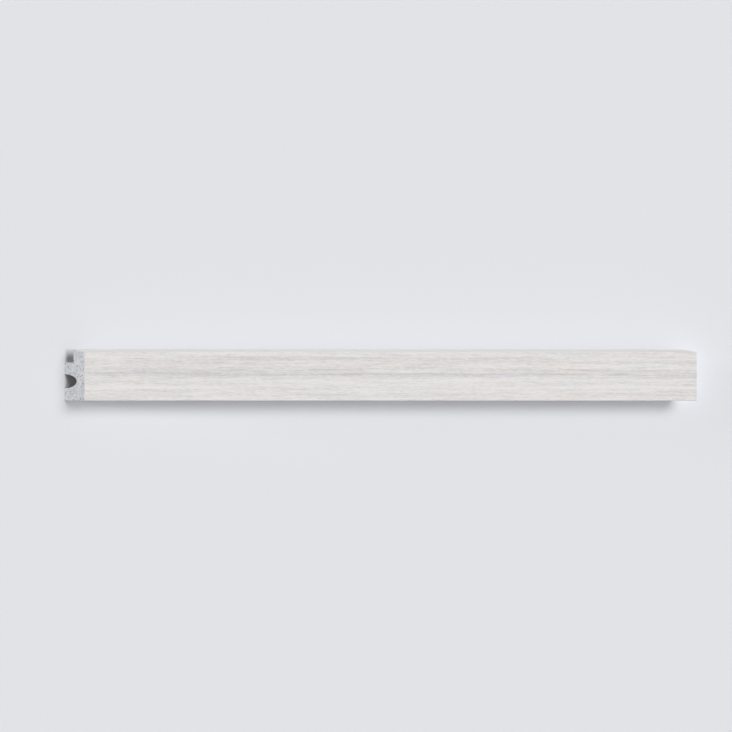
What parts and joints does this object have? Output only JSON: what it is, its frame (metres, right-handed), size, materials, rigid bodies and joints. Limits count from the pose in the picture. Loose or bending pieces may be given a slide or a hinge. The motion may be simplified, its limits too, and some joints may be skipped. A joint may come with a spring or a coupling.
{
  "type": "wall moulding",
  "caption": "Straight wood-look wall moulding with a foamed core, a light-strip rebate behind its lip, a cable groove in its wall face and mitred ends.",
  "frame": {"origin": "middle of the length and of the height, on the wall plane, with the moulding lying on its wall face", "axes": "+X runs along the wall to the outside mitre, +Y runs up the wall to the lip, +Z points out of the wall"},
  "size_m": [0.556, 0.045, 0.02],
  "materials": {
    "whitewashed_oak_film": "matt whitewashed oak film on foamed polystyrene"
  },
  "bodies": {
    "root": {"moulding": "whitewashed_oak_film"}
  },
  "joints": []
}
